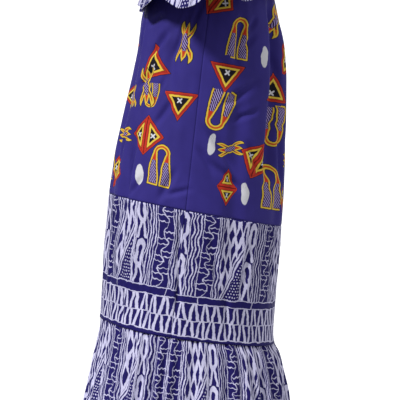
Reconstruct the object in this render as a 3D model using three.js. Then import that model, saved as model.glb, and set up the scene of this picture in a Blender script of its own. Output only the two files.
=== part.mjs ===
// A long off-shoulder dress in the hollow form that it has when it is worn.
// Millimetres, +Z up, the front towards -Y and the wearer's left towards +X.
// The origin is the middle of the elastic neckline, by which the upper arms hold the dress.
//
// A place on the dress is given by its level, which is its height at the side seams, and by its
// angle in degrees round the axis: 0 is the middle of the front, 90 the wearer's left side seam,
// 180 the middle of the back and -90 the wearer's right side seam.
import * as THREE from "three";

// ---------------------------------------------------------------- driving dimensions

const CLOTH = 1.3; // one layer of cotton, as thick as a wall may be thin
const CASING_WALL = 3.4; // the neck's turned edges with the elastic between them
const SEAM_GAP = 0.3; // between two pieces that are sewn together

const CASING_DROP = 14; // height of the elastic casing
const BODY_TOP = -(CASING_DROP + SEAM_GAP); // upper edge of body and sleeves
const UNDERARM = -95; // where side seam and armhole meet
const PANEL_SEAM = -652; // body to skirt panel
const FLOUNCE_SEAM = -948; // skirt panel to flounce
const HEM = -1215;

// The hanging cloth, level by level: its distances from the axis at front, back and sides, and
// how far a level line climbs for each millimetre towards the back.
const LEVELS = [
  { level: 0, front: 122, back: 116, side: 222, rise: 0.19 },
  { level: -50, front: 136, back: 131, side: 186, rise: 0.1 },
  { level: UNDERARM, front: 146, back: 148, side: 167, rise: 0.04 },
  { level: -150, front: 154, back: 168, side: 174, rise: 0 },
  { level: -210, front: 162, back: 187, side: 181, rise: 0 },
  { level: -300, front: 165, back: 207, side: 191, rise: -0.01 },
  { level: -400, front: 174, back: 219, side: 200, rise: -0.03 },
  { level: -520, front: 188, back: 230, side: 209, rise: -0.045 },
  { level: PANEL_SEAM, front: 194, back: 240, side: 217, rise: -0.072 },
  { level: -760, front: 191, back: 244, side: 221, rise: -0.05 },
  { level: -860, front: 183, back: 246, side: 224, rise: -0.035 },
  { level: FLOUNCE_SEAM, front: 178, back: 254, side: 227, rise: -0.04 },
  { level: -970, front: 175, back: 268, side: 234, rise: -0.042 },
  { level: -1000, front: 176, back: 280, side: 241, rise: -0.04 },
  { level: -1080, front: 181, back: 304, side: 261, rise: -0.03 },
  { level: HEM, front: 190, back: 326, side: 288, rise: -0.01 },
];

// The large hanging folds: the angle at their upper and lower ends, half their width in degrees,
// how far the cloth sinks in, and the levels between which they run.
const FOLDS = [
  { from: 153, to: 144, spread: 9, depth: 22, top: -110, bottom: -590 },
  { from: 166, to: 160, spread: 8, depth: -7, top: -150, bottom: -700 },
  { from: 116, to: 120, spread: 9, depth: 9, top: -330, bottom: -820 },
  { from: 172, to: 170, spread: 8, depth: 8, top: -420, bottom: -900 },
  { from: 62, to: 66, spread: 9, depth: 8, top: -160, bottom: -420 },
  { from: 40, to: 38, spread: 8, depth: 13, top: -450, bottom: -760 },
  { from: 18, to: 15, spread: 10, depth: 8, top: -240, bottom: -900 },
  { from: 66, to: 62, spread: 9, depth: 7, top: -600, bottom: -930 },
  { from: -12, to: -14, spread: 9, depth: 7, top: -330, bottom: -930 },
  { from: -38, to: -34, spread: 10, depth: 12, top: -200, bottom: -720 },
  { from: -60, to: -64, spread: 9, depth: 9, top: -420, bottom: -880 },
  { from: -112, to: -116, spread: 10, depth: 13, top: -170, bottom: -640 },
  { from: -137, to: -141, spread: 10, depth: 18, top: -120, bottom: -520 },
  { from: -160, to: -163, spread: 9, depth: 9, top: -380, bottom: -900 },
];
const FOLD_FADE = 90; // length over which a fold starts and dies away

// Each armhole runs from the neckline down to the underarm.
const ARMHOLE = { inset: 167, topAngle: 48, sleeveArc: 100, clearance: 1.3, cornerTurn: 0.06 };

// The sleeve's hem is an oval round the hanging arm.
const SLEEVE = { hemLevel: -142, centreX: 240, centreY: 10, halfX: 50, halfY: 66, puff: 8, cant: 0.06 };

// The neck ruffle, from its gathered upper edge to its hem: distances from the axis as above.
const RUFFLE_FORM = [
  { down: 0, front: 129, back: 124, side: 228 },
  { down: 0.35, front: 150, back: 143, side: 272 },
  { down: 0.7, front: 160, back: 158, side: 296 },
  { down: 1, front: 169, back: 171, side: 313 },
];
const RUFFLE_DEPTH = { mean: 142, side: -14, lean: 10, dip: 16, dips: 7, dipAngle: 70 };

// Gathered pieces: how many folds the whole ring has, how deep they are at the seam, where they
// are fullest and at the hem, and the wider waves that they open into.
const RUFFLE_WAVES = { gathers: 26, atSeam: 1.2, fullest: 5, atHem: 4, waves: 11, waveDepth: 3.5 };
const FLOUNCE_WAVES = { gathers: 44, atSeam: 2.4, fullest: 4.6, atHem: 3, waves: 17, waveDepth: 11 };
const FULLEST_AT = 0.4; // of the way down

const CELLS = { panel: 40, perGather: 5, sleeve: 9, casing: 56 };
const BODY_LEVELS = [PANEL_SEAM, -585, -515, -445, -375, -305, -235, -165, UNDERARM];
const ARMHOLE_SHARES = [0.06, 0.25, 0.55, 1];
const PANEL_LEVELS = [FLOUNCE_SEAM, -850, -750, PANEL_SEAM];
const FLOUNCE_SHARES = [1, 0.72, 0.46, 0.2, 0];
const RUFFLE_SHARES = [1, 0.7, 0.4, 0.15, 0];
const SLEEVE_SHARES = [1, 0.75, 0.5, 0.25, 0];

const BLUE_PRINT = { color: "#3a3094", roughness: 0.75 };
const WHITE_ON_INDIGO = { color: "#7f78b4", roughness: 0.8 };
const CASING_CLOTH = { color: "#2f2780", roughness: 0.8 };

// ---------------------------------------------------------------- the hanging form

const radians = THREE.MathUtils.degToRad;
const mix = THREE.MathUtils.lerp;

/** A table's row at any value of its key, on smooth curves through the rows that it has. */
function readTable(table, key, value) {
  const falling = table[1][key] < table[0][key];
  const beyond = (row) => (falling ? row[key] <= value : row[key] >= value);
  const found = table.findIndex(beyond);
  const last = found < 0 ? table.length - 1 : Math.max(found, 1);
  const near = [last - 2, last - 1, last, last + 1].map((i) => table[THREE.MathUtils.clamp(i, 0, table.length - 1)]);
  const [before, start, end, after] = near;
  const span = end[key] - start[key];
  const t = THREE.MathUtils.clamp((value - start[key]) / span, 0, 1);
  const row = {};
  for (const column of Object.keys(start)) {
    const slopeIn = (end[column] - before[column]) / (end[key] - before[key]);
    const slopeOut = (after[column] - start[column]) / (after[key] - start[key]);
    row[column] =
      (2 * t ** 3 - 3 * t ** 2 + 1) * start[column] +
      (t ** 3 - 2 * t ** 2 + t) * span * slopeIn +
      (3 * t ** 2 - 2 * t ** 3) * end[column] +
      (t ** 3 - t ** 2) * span * slopeOut;
  }
  return row;
}

/** How far the hanging folds take the cloth inwards at a place. */
function foldDepth(level, angle) {
  let depth = 0;
  for (const fold of FOLDS) {
    const along = (fold.top - level) / (fold.top - fold.bottom);
    const turned = angle - mix(fold.from, fold.to, along);
    const away = Math.abs(turned - 360 * Math.round(turned / 360)) / fold.spread;
    const fade =
      THREE.MathUtils.smoothstep(fold.top - level, 0, FOLD_FADE) *
      THREE.MathUtils.smoothstep(level - fold.bottom, 0, FOLD_FADE);
    if (away < 1) depth += fold.depth * fade * 0.5 * (1 + Math.cos(Math.PI * away));
  }
  return depth;
}

/** A point of an oval with its own depths at front and back, moved outwards by a distance. */
function ovalPoint(form, angle, outwards) {
  const sine = Math.sin(radians(angle));
  const cosine = Math.cos(radians(angle));
  const depth = cosine > 0 ? form.front : form.back;
  const normal = new THREE.Vector2(sine / form.side, -cosine / depth).normalize();
  return new THREE.Vector2(form.side * sine, -depth * cosine).addScaledVector(normal, outwards);
}

/** The outer face of the hanging cloth. */
function clothPoint(level, angle, outwards = 0) {
  const form = readTable(LEVELS, "level", level);
  if (level > UNDERARM) form.side = ARMHOLE.inset / Math.sin(radians(armholeAngle(level)));
  const place = ovalPoint(form, angle, outwards - foldDepth(level, angle));
  return new THREE.Vector3(place.x, place.y, level + form.rise * place.y);
}

/** How far round from the middle the body reaches at a level above the underarm. */
function armholeAngle(level) {
  const up = THREE.MathUtils.clamp((level - UNDERARM) / (BODY_TOP - UNDERARM), 0, 1);
  return 90 - (90 - ARMHOLE.topAngle) * Math.sqrt(up);
}

// The oval of the neckline where casing, ruffle, body and sleeves meet.
const NECK = readTable(LEVELS, "level", BODY_TOP);
NECK.side = ARMHOLE.inset / Math.sin(radians(ARMHOLE.topAngle));

/** The gathers and waves of a gathered ring, as a distance outwards. */
function gathered(sizes, down, angle) {
  const turn = radians(angle);
  const spread = down < FULLEST_AT ? down / FULLEST_AT : (down - FULLEST_AT) / (1 - FULLEST_AT);
  const depth =
    down < FULLEST_AT ? mix(sizes.atSeam, sizes.fullest, spread) : mix(sizes.fullest, sizes.atHem, spread);
  const uneven = 0.75 + 0.25 * Math.sin(5 * turn + 1);
  const gather = Math.cos(sizes.gathers * turn + 0.9 * Math.sin(3 * turn) + 0.6 * Math.sin(8 * turn));
  const wave = Math.cos(sizes.waves * turn + 1.1 * Math.sin(2 * turn + 0.5));
  return uneven * (depth * gather + sizes.waveDepth * down ** 1.3 * wave);
}

// ---------------------------------------------------------------- walls

/** How far a level line of the hanging cloth climbs for each millimetre towards the back. */
const levelRise = (level) => readTable(LEVELS, "level", level).rise;
const neckRise = () => NECK.rise;

/**
 * A closed wall on a surface: its outer points, inner points one thickness inside them on the same
 * level line, and rims. Columns run round the piece and rows run up it.
 */
function clothWall({ name, finish, surface, rise, columns, rows, thickness = CLOTH, closed = false }) {
  const step = (columns[1] - columns[0]) / 4;
  const rowStep = (rows.at(-1) - rows[0]) / 200;
  const outer = [];
  const inner = [];
  for (const row of rows) {
    for (const column of columns) {
      const point = surface(column, row);
      const round = surface(column + step, row).sub(surface(column - step, row));
      const up = surface(column, row + rowStep).sub(surface(column, row - rowStep));
      const inwards = up.cross(round).setZ(0).setLength(thickness);
      inwards.z = rise(row) * inwards.y;
      outer.push(point);
      inner.push(point.clone().add(inwards));
    }
  }
  const wide = columns.length;
  const high = rows.length;
  const points = [...outer, ...inner];
  const faces = [];
  const quad = (a, b, c, d) => faces.push(a, b, c, a, c, d);
  const reach = closed ? wide : wide - 1;
  for (let row = 0; row < high - 1; row++) {
    for (let column = 0; column < reach; column++) {
      const a = row * wide + column;
      const b = row * wide + ((column + 1) % wide);
      quad(a, b, b + wide, a + wide);
      quad(a + outer.length, a + wide + outer.length, b + wide + outer.length, b + outer.length);
    }
  }
  const topRow = (high - 1) * wide;
  for (let column = 0; column < reach; column++) {
    const next = (column + 1) % wide;
    quad(next, column, column + outer.length, next + outer.length);
    quad(topRow + column, topRow + next, topRow + next + outer.length, topRow + column + outer.length);
  }
  for (let row = 0; row < high - 1 && !closed; row++) {
    const first = row * wide;
    const last = first + wide - 1;
    quad(first, first + wide, first + wide + outer.length, first + outer.length);
    quad(last + wide, last, last + outer.length, last + wide + outer.length);
  }
  const geometry = new THREE.BufferGeometry().setFromPoints(points);
  geometry.setIndex(faces);
  const mesh = new THREE.Mesh(geometry.toNonIndexed(), new THREE.MeshStandardMaterial(finish));
  mesh.geometry.computeVertexNormals();
  mesh.name = name;
  return mesh;
}

/** Evenly spaced values from one end to the other, both included. */
function evenly(from, to, cells) {
  return Array.from({ length: cells + 1 }, (_, i) => mix(from, to, i / cells));
}

/** A list of levels with its two end levels drawn in to leave half a seam's gap at each. */
function clearOfSeams(levels) {
  const last = levels.length - 1;
  return levels.map((level, i) => level + (i === 0 ? SEAM_GAP / 2 : 0) - (i === last ? SEAM_GAP / 2 : 0));
}

// Half the gap at a side seam, as an angle: wide enough where a wave crosses the seam at a slant.
const SEAM_ANGLE = THREE.MathUtils.radToDeg(SEAM_GAP / ARMHOLE.inset);

const HALVES = [
  { word: "front", middle: 0 },
  { word: "back", middle: 180 },
];

// ---------------------------------------------------------------- the pieces

/** One half of the blue body, with its armhole curves cut from the upper corners. */
function bodyPanel({ word, middle }) {
  const levels = [...clearOfSeams(BODY_LEVELS)];
  levels[levels.length - 1] = UNDERARM;
  for (const share of ARMHOLE_SHARES) levels.push(mix(UNDERARM, BODY_TOP, share));
  const reach = 1 - SEAM_ANGLE / 90;
  return clothWall({
    name: `${word}_body`,
    finish: BLUE_PRINT,
    surface: (across, level) => clothPoint(level, middle + across * armholeAngle(level)),
    rise: levelRise,
    columns: evenly(-reach, reach, CELLS.panel),
    rows: levels,
  });
}

/** One half of the plain skirt panel below the body. */
function skirtPanel({ word, middle }) {
  const reach = 90 - SEAM_ANGLE;
  return clothWall({
    name: `${word}_skirt_panel`,
    finish: WHITE_ON_INDIGO,
    surface: (angle, level) => clothPoint(level, angle),
    rise: levelRise,
    columns: evenly(middle - reach, middle + reach, CELLS.panel),
    rows: clearOfSeams(PANEL_LEVELS),
  });
}

/** One half of the gathered flounce. */
function flounce({ word, middle }) {
  const top = FLOUNCE_SEAM - SEAM_GAP / 2;
  const surface = (angle, level) => {
    const down = (top - level) / (top - HEM);
    return clothPoint(level, angle, gathered(FLOUNCE_WAVES, Math.max(down, 0), angle));
  };
  const reach = 90 - SEAM_ANGLE;
  return clothWall({
    name: `${word}_flounce`,
    finish: WHITE_ON_INDIGO,
    surface,
    rise: levelRise,
    columns: evenly(middle - reach, middle + reach, (FLOUNCE_WAVES.gathers / 2) * CELLS.perGather),
    rows: FLOUNCE_SHARES.map((share) => mix(top, HEM, share)),
  });
}

/** How deep the ruffle hangs at an angle: more at the front and the sides, and in uneven dips. */
function ruffleDepth(angle) {
  const front = RUFFLE_DEPTH.lean * Math.cos(radians(angle));
  const sides = RUFFLE_DEPTH.side * Math.cos(2 * radians(angle));
  const dips = RUFFLE_DEPTH.dip * Math.cos(RUFFLE_DEPTH.dips * radians(angle - RUFFLE_DEPTH.dipAngle));
  return RUFFLE_DEPTH.mean + front + sides + dips;
}

/** A point of the neck ruffle, by its angle and its share of the way down. */
function rufflePoint(angle, down) {
  const form = readTable(RUFFLE_FORM, "down", down);
  const place = ovalPoint(form, angle, gathered(RUFFLE_WAVES, Math.max(down, 0), angle));
  return new THREE.Vector3(place.x, place.y, BODY_TOP + NECK.rise * place.y - down * ruffleDepth(angle));
}

/** One half of the gathered ruffle that falls from the neckline over body and sleeves. */
function neckRuffle({ word, middle }) {
  const reach = 90 - SEAM_ANGLE;
  return clothWall({
    name: `${word}_ruffle`,
    finish: WHITE_ON_INDIGO,
    surface: rufflePoint,
    rise: neckRise,
    columns: evenly(middle - reach, middle + reach, (RUFFLE_WAVES.gathers / 2) * CELLS.perGather),
    rows: RUFFLE_SHARES,
  });
}

/** The upper edge of the left sleeve: over the arm along the neckline, and under it by the armhole. */
function sleeveTop(turn) {
  const wrapped = turn - 360 * Math.round(turn / 360);
  const sideways = Math.abs(wrapped);
  if (sideways <= ARMHOLE.sleeveArc) {
    const reach = 90 - ARMHOLE.topAngle - ARMHOLE.cornerTurn;
    return clothPoint(BODY_TOP, 90 + (wrapped / ARMHOLE.sleeveArc) * reach);
  }
  const up = (180 - sideways) / (180 - ARMHOLE.sleeveArc);
  const level = mix(UNDERARM, BODY_TOP, up);
  const angle = armholeAngle(level);
  const towardsBack = Math.sign(wrapped);
  const edge = clothPoint(level, 90 + towardsBack * (90 - angle));
  edge.x += ARMHOLE.clearance;
  edge.y -= towardsBack * ARMHOLE.clearance * Math.sqrt(up);
  return edge;
}

/** One short sleeve, from the neckline and armhole to an open hem round the arm. */
function sleeve(word, mirrored) {
  const surface = (turn, down) => {
    const top = sleeveTop(turn);
    const outwards = new THREE.Vector2(Math.cos(radians(turn)), Math.sin(radians(turn)));
    const hem = new THREE.Vector3(
      SLEEVE.centreX + SLEEVE.halfX * outwards.x,
      SLEEVE.centreY + SLEEVE.halfY * outwards.y,
      SLEEVE.hemLevel - SLEEVE.cant * SLEEVE.halfX * outwards.x,
    );
    const point = top.lerp(hem, down);
    const puff = SLEEVE.puff * Math.sin(Math.PI * Math.max(down, 0)) * Math.max(0, outwards.x + 0.3);
    return point.add(new THREE.Vector3(puff * outwards.x, puff * outwards.y, 0));
  };
  const side = mirrored ? -1 : 1;
  const placed = (turn, down) => surface(side * turn, down).multiply(new THREE.Vector3(side, 1, 1));
  const shares = [0, ...ARMHOLE_SHARES];
  const under = shares.map((share) => 180 - share * (180 - ARMHOLE.sleeveArc));
  const over = evenly(ARMHOLE.sleeveArc, -ARMHOLE.sleeveArc, 2 * CELLS.sleeve).slice(1, -1);
  const columns = [...under, ...over, ...under.slice(1).reverse().map((turn) => -turn)];
  return clothWall({
    name: `${word}_sleeve`,
    finish: BLUE_PRINT,
    surface: placed,
    rise: (down) => neckRise() * (1 - down),
    columns: columns.reverse(),
    rows: SLEEVE_SHARES,
    closed: true,
  });
}

/** The elastic casing at the neckline, the edge by which the dress is held. */
function neckCasing() {
  const surface = (angle, level) => {
    const place = ovalPoint(NECK, angle, CLOTH + SEAM_GAP);
    return new THREE.Vector3(place.x, place.y, level + NECK.rise * place.y);
  };
  return clothWall({
    name: "neck_casing",
    finish: CASING_CLOTH,
    surface,
    rise: neckRise,
    columns: evenly(0, 360, CELLS.casing).slice(0, -1),
    rows: [-CASING_DROP, 0],
    thickness: CASING_WALL,
    closed: true,
  });
}

// ---------------------------------------------------------------- the dress

const dress = new THREE.Group();
dress.name = "off_shoulder_dress";
dress.add(neckCasing());
for (const half of HALVES) {
  dress.add(neckRuffle(half), bodyPanel(half), skirtPanel(half), flounce(half));
}
dress.add(sleeve("left", false), sleeve("right", true));

export default dress;
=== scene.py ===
"""An off-shoulder dress in printed cotton, dressed round its rigid frame.

Sizes are in millimetres where they describe the cloth and are turned to metres when a mesh is made.
A place on the dress is given by its level (its height at the side seams) and its angle round the
axis: 0 is the middle of the front, 90 the wearer's left side seam, 180 the middle of the back.
"""

from __future__ import annotations

import ast
import logging
import math
from collections.abc import Callable, Sequence
from dataclasses import dataclass, field
from enum import Enum
from typing import ClassVar

import bmesh
import bpy
from mathutils import Matrix, Vector, noise


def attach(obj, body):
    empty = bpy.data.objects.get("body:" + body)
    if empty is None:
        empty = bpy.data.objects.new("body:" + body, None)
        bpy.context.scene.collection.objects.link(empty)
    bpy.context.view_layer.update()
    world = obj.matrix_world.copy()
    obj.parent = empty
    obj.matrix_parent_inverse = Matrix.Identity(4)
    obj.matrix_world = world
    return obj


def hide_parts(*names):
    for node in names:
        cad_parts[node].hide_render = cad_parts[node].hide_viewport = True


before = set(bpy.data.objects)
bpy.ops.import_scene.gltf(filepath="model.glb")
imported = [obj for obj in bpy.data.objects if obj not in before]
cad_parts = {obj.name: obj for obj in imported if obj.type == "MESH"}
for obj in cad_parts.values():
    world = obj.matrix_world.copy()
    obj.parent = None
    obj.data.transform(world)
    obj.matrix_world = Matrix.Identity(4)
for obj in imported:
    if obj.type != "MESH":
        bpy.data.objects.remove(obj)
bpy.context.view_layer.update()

log = logging.getLogger("dress")

MM = 0.001

# ------------------------------------------------------------------ sizes of the dress

SEAM_GAP = 0.3
CASING_DROP = 14.0
BODY_TOP = -(CASING_DROP + SEAM_GAP)
UNDERARM = -95.0
PANEL_SEAM = -652.0
FLOUNCE_SEAM = -948.0
HEM = -1215.0
CLOTH_THICKNESS = 0.8


@dataclass(frozen=True)
class Level:
    """The hanging cloth at one level: its distances from the axis, and how a level line climbs."""

    level: float
    front: float
    back: float
    side: float
    rise: float


LEVELS = (
    Level(0, 122, 116, 222, 0.19),
    Level(-50, 136, 131, 186, 0.1),
    Level(UNDERARM, 146, 148, 167, 0.04),
    Level(-150, 154, 168, 174, 0),
    Level(-210, 162, 187, 181, 0),
    Level(-300, 165, 207, 191, -0.01),
    Level(-400, 174, 219, 200, -0.03),
    Level(-520, 188, 230, 209, -0.045),
    Level(PANEL_SEAM, 194, 240, 217, -0.072),
    Level(-760, 191, 244, 221, -0.05),
    Level(-860, 183, 246, 224, -0.035),
    Level(FLOUNCE_SEAM, 178, 254, 227, -0.04),
    Level(-970, 175, 268, 234, -0.042),
    Level(-1000, 176, 280, 241, -0.04),
    Level(-1080, 181, 304, 261, -0.03),
    Level(HEM, 190, 326, 288, -0.01),
)


@dataclass(frozen=True)
class Fold:
    """A long hanging fold: its angles at the upper and lower ends, its size and its levels."""

    start: float
    end: float
    spread: float
    depth: float
    top: float
    bottom: float


FOLDS = (
    Fold(153, 144, 9, 22, -110, -590),
    Fold(166, 160, 8, -7, -150, -700),
    Fold(116, 120, 9, 9, -330, -820),
    Fold(172, 170, 8, 8, -420, -900),
    Fold(62, 66, 9, 8, -160, -420),
    Fold(40, 38, 8, 13, -450, -760),
    Fold(18, 15, 10, 8, -240, -900),
    Fold(66, 62, 9, 7, -600, -930),
    Fold(-12, -14, 9, 7, -330, -930),
    Fold(-38, -34, 10, 12, -200, -720),
    Fold(-60, -64, 9, 9, -420, -880),
    Fold(-112, -116, 10, 13, -170, -640),
    Fold(-137, -141, 10, 18, -120, -520),
    Fold(-160, -163, 9, 9, -380, -900),
)
FOLD_FADE = 90.0


@dataclass(frozen=True)
class Crease:
    """A soft crease between two places on the cloth, as angle and level, with its width and depth."""

    angle: float
    level: float
    end_angle: float
    end_level: float
    width: float
    depth: float


CREASES = (
    Crease(150, -190, 147, -310, 6, 2.2),
    Crease(147.5, -290, 145, -420, 6, 2.4),
    Crease(145, -400, 143, -530, 6, 2.2),
    Crease(97, -455, 116, -540, 12, 3.2),
    Crease(101, -530, 124, -585, 10, 2.4),
    Crease(93, -500, 104, -560, 9, 2.2),
    Crease(124, -470, 136, -545, 11, 2.6),
    Crease(104, -400, 130, -330, 12, 2.6),
    Crease(112, -430, 131, -395, 8, 1.8),
    Crease(128, -225, 116, -265, 9, 2.2),
    Crease(131, -180, 122, -215, 8, 1.8),
    Crease(117, -185, 112, -300, 12, 2.4),
    Crease(74, -190, 64, -300, 12, 3.0),
    Crease(84, -160, 76, -260, 9, 2.2),
    Crease(58, -235, 42, -300, 13, 2.6),
    Crease(50, -200, 30, -225, 9, 1.8),
    Crease(47, -330, 32, -380, 12, 2.4),
    Crease(60, -350, 52, -430, 9, 1.8),
    Crease(70, -400, 58, -470, 12, 2.2),
    Crease(38, -530, 42, -645, 6, 3.2),
    Crease(29, -470, 24, -600, 8, 2.0),
    Crease(56, -590, 46, -640, 9, 1.8),
    Crease(80, -560, 70, -640, 12, 2.4),
    Crease(92, -600, 74, -625, 8, 1.8),
    Crease(152, -250, 156, -330, 8, 2.2),
    Crease(155, -440, 160, -560, 9, 2.0),
    Crease(24, -200, 20, -330, 12, 2.4),
    Crease(8, -150, 5, -280, 14, 2.6),
    Crease(86, -665, 89, -790, 7, 2.8),
    Crease(90, -780, 92, -900, 8, 2.2),
    Crease(105, -690, 112, -800, 12, 2.2),
    Crease(118, -830, 122, -930, 10, 2.0),
    Crease(132, -700, 128, -840, 11, 2.4),
    Crease(150, -660, 155, -790, 9, 2.4),
    Crease(56, -740, 60, -850, 10, 2.0),
    Crease(40, -660, 44, -780, 9, 2.2),
    Crease(28, -700, 26, -860, 10, 2.4),
    Crease(72, -840, 70, -930, 10, 2.2),
    Crease(45, -850, 48, -935, 8, 1.8),
)
CREASE_STRENGTH = 3.1
CREASE_REACH = 140.0  # a crease is short, and isn't felt further than this from its middle level
# Each crease has a like one on the hidden side, a little turned, moved and softened.
HIDDEN_SIDE = {"turn": 4.0, "drop": -22.0, "softer": 0.85}


@dataclass(frozen=True)
class Waves:
    """How a gathered ring waves: small gathers that grow and fade, and wider waves to the hem."""

    gathers: int
    at_seam: float
    fullest: float
    at_hem: float
    waves: int
    wave_depth: float


RUFFLE_WAVES = Waves(26, 1.2, 5.0, 4.0, 11, 3.5)
FLOUNCE_WAVES = Waves(44, 2.6, 6.4, 4.6, 17, 14.0)
FULLEST_AT = 0.4

ARMHOLE_INSET = 167.0
ARMHOLE_TOP_ANGLE = 48.0
SLEEVE_ARC = 100.0
ARMHOLE_CLEARANCE = 1.3


@dataclass(frozen=True)
class RuffleForm:
    """The neck ruffle's distances from the axis at a share of the way down."""

    down: float
    front: float
    back: float
    side: float


RUFFLE_FORM = (
    RuffleForm(0, 129, 124, 228),
    RuffleForm(0.35, 150, 143, 272),
    RuffleForm(0.7, 160, 158, 296),
    RuffleForm(1, 169, 171, 313),
)


@dataclass(frozen=True)
class RuffleDepth:
    """How deep the ruffle hangs: most at the sides, least at the back, with dips all round its hem."""

    mean: float = 142.0
    side: float = -14.0
    lean: float = 10.0
    dip: float = 16.0
    dips: int = 7
    dip_angle: float = 70.0

    def at(self, angle: float) -> float:
        """The ruffle's depth at one place round the neck.

        Args:
            angle: the angle round the axis, in degrees.

        Returns:
            The depth, in millimetres.
        """
        turn = math.radians(angle)
        dips = self.dip * math.cos(self.dips * (turn - math.radians(self.dip_angle)))
        return self.mean + self.lean * math.cos(turn) + self.side * math.cos(2 * turn) + dips


# ------------------------------------------------------------------ small tools


def smooth_step(value: float, low: float, high: float) -> float:
    """Eases from 0 at low to 1 at high."""
    t = min(max((value - low) / (high - low), 0.0), 1.0)
    return t * t * (3 - 2 * t)


def mix(a: float, b: float, t: float) -> float:
    """The value a share t of the way from a to b."""
    return a + (b - a) * t


def evenly(start: float, end: float, cells: int) -> list[float]:
    """Evenly spaced values from start to end, both included."""
    return [mix(start, end, i / cells) for i in range(cells + 1)]


def nearest_turn(angle: float) -> float:
    """The same direction as an angle from -180 to 180 degrees."""
    return angle - 360 * round(angle / 360)


def uneven(turns: float, angle: float, along: float) -> float:
    """Smooth unevenness round the dress, from -1 to 1, the quicker the more turns it has."""
    turn = math.radians(angle)
    return noise.noise(Vector((turns * math.cos(turn), turns * math.sin(turn), along)))


def read_table(table: Sequence, key: str, value: float) -> dict[str, float]:
    """A table's row at any value of its key, on smooth curves through the rows that it has.

    Args:
        table: rows of one dataclass, in order of the key.
        key: the name of the column that is looked up.
        value: where the row is wanted.

    Returns:
        The row's columns by name.
    """
    falling = getattr(table[1], key) < getattr(table[0], key)
    last = len(table) - 1
    for i in range(1, len(table)):
        reached = getattr(table[i], key)
        if (reached <= value) if falling else (reached >= value):
            last = i
            break
    before, start, end, after = (table[min(max(last + k, 0), len(table) - 1)] for k in (-2, -1, 0, 1))
    span = getattr(end, key) - getattr(start, key)
    t = min(max((value - getattr(start, key)) / span, 0.0), 1.0)
    row = {}
    for column in start.__dataclass_fields__:
        a, b = getattr(start, column), getattr(end, column)
        slope_in = (b - getattr(before, column)) / (getattr(end, key) - getattr(before, key))
        slope_out = (getattr(after, column) - a) / (getattr(after, key) - getattr(start, key))
        row[column] = (
            (2 * t**3 - 3 * t**2 + 1) * a
            + (t**3 - 2 * t**2 + t) * span * slope_in
            + (3 * t**2 - 2 * t**3) * b
            + (t**3 - t**2) * span * slope_out
        )
    return row


def as_object(name: str, shape: bmesh.types.BMesh) -> bpy.types.Object:
    """Turns a finished shape into a smooth object of the scene.

    Args:
        name: the object's name.
        shape: the shape, which is freed.

    Returns:
        The object.
    """
    mesh = bpy.data.meshes.new(name)
    shape.to_mesh(mesh)
    shape.free()
    mesh.polygons.foreach_set("use_smooth", [True] * len(mesh.polygons))
    made = bpy.data.objects.new(name, mesh)
    bpy.context.scene.collection.objects.link(made)
    return made


def linear(hex_colour: str) -> tuple[float, float, float, float]:
    """An sRGB hex colour as the linear colour that shaders use."""
    parts = [int(hex_colour[i : i + 2], 16) / 255 for i in (1, 3, 5)]
    return (*(c / 12.92 if c <= 0.04045 else ((c + 0.055) / 1.055) ** 2.4 for c in parts), 1.0)


# ------------------------------------------------------------------ the hanging form


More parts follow.
